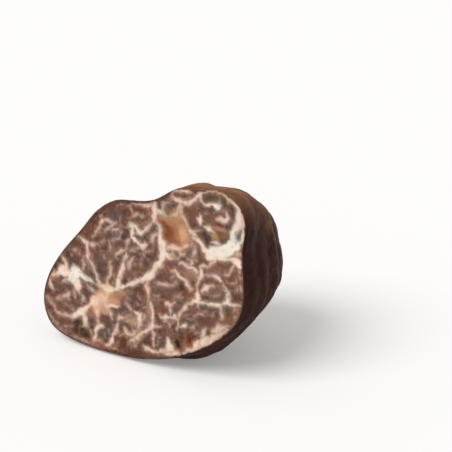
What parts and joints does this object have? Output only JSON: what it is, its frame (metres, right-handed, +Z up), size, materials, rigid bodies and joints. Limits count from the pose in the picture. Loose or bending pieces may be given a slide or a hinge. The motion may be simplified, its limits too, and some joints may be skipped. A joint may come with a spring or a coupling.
{
  "type": "bianchetto truffle",
  "caption": "Fresh bianchetto truffle cut in half: a lumpy reddish-brown rind at the back and a flat, marbled cut face with pale veins, resting on a small flat spot.",
  "frame": {"origin": "on the surface that the truffle rests on, under the middle of its bounding box", "axes": "+X to the right as seen by someone facing the cut, along the longest extent; -Y the way the cut face looks; +Z up"},
  "size_m": [0.0402, 0.0252, 0.0323],
  "materials": {
    "truffle": "dull leathery rind; moist matt flesh on the cut face"
  },
  "bodies": {
    "root": {"truffle": "truffle"}
  },
  "joints": []
}
